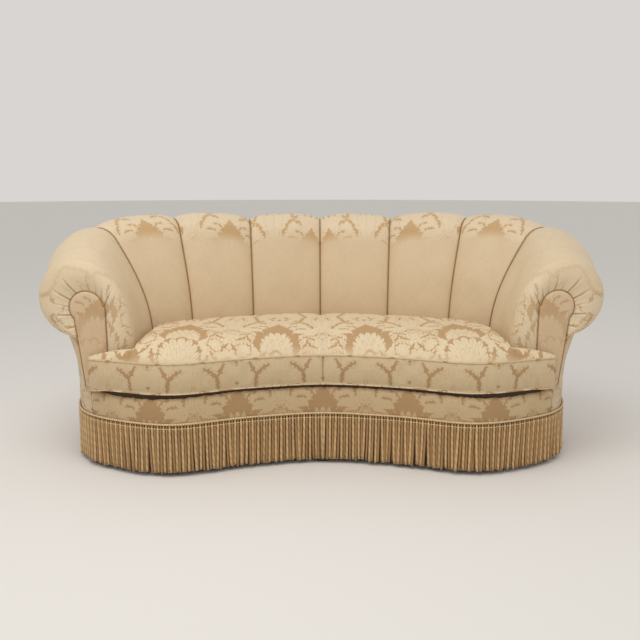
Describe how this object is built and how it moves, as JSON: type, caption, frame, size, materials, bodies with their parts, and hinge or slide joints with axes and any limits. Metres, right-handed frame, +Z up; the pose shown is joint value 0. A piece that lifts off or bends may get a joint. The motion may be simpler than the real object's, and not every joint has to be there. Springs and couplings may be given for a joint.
{
  "type": "channel tufted sofa",
  "caption": "Kidney-shaped sofa with a channelled back, rolled arms with keyhole fronts, one loose bench cushion and a long bullion fringe.",
  "frame": {"origin": "on the floor under the middle of the sofa's bounding box", "axes": "+X to the sofa's own left as it faces forwards along -Y, which is the viewer's right; +Y to the back; +Z up"},
  "size_m": [2.0786, 1.0122, 0.8924],
  "materials": {
    "damask": "satin",
    "fringe_yarn": "satin",
    "deck_cloth": "matte",
    "burlap": "matte",
    "cambric": "matte",
    "foam": "matte",
    "zip_tape": "matte",
    "frame_wood": "sawn",
    "leg_wood": "stained",
    "spring_steel": "drawn wire"
  },
  "bodies": {
    "frame": {"arm_board_left": "frame_wood", "arm_board_right": "frame_wood", "arm_facing_left": "damask", "arm_facing_right": "damask", "arm_rail_left": "frame_wood", "arm_rail_right": "frame_wood", "back_channel_1": "damask", "back_channel_2": "damask", "back_channel_3": "damask", "back_channel_4": "damask", "back_channel_5": "damask", "back_channel_6": "damask", "back_post_inner_left": "frame_wood", "back_post_inner_right": "frame_wood", "back_post_outer_left": "frame_wood", "back_post_outer_right": "frame_wood", "back_rail": "frame_wood", "corner_block_left": "frame_wood", "corner_block_right": "frame_wood", "corner_post_left": "frame_wood", "corner_post_right": "frame_wood", "dust_cover": "cambric", "fringe_back_left": "fringe_yarn", "fringe_back_right": "fringe_yarn", "fringe_front_left": "fringe_yarn", "fringe_front_right": "fringe_yarn", "fringe_side_left": "fringe_yarn", "fringe_side_right": "fringe_yarn", "front_border": "damask", "front_rail": "frame_wood", "inside_arm_left": "damask", "inside_arm_lining_left": "burlap", "inside_arm_lining_right": "burlap", "inside_arm_right": "damask", "inside_back_lining": "burlap", "leg_back_centre": "leg_wood", "leg_back_left": "leg_wood", "leg_back_right": "leg_wood", "leg_front_centre": "leg_wood", "leg_front_left": "leg_wood", "leg_front_right": "leg_wood", "outside_arm_left": "damask", "outside_arm_right": "damask", "outside_back": "damask", "seat_brace_left": "frame_wood", "seat_brace_right": "frame_wood", "seat_deck": "deck_cloth", "seat_spring_inner_left": "spring_steel", "seat_spring_inner_right": "spring_steel", "seat_spring_middle_left": "spring_steel", "seat_spring_middle_right": "spring_steel", "seat_spring_outer_left": "spring_steel", "seat_spring_outer_right": "spring_steel", "side_rail_left": "frame_wood", "side_rail_right": "frame_wood", "spring_burlap": "burlap", "top_rail": "frame_wood"},
    "seat_cushion": {"seat_cushion_cover": "damask", "seat_cushion_core": "foam", "seat_cushion_zip": "zip_tape"}
  },
  "joints": [
    {"name": "cushion_lift", "type": "slide", "parent": "frame", "child": "seat_cushion", "axis": [0, -0.5, 0.866], "range_m": [0, 0.25]}
  ]
}
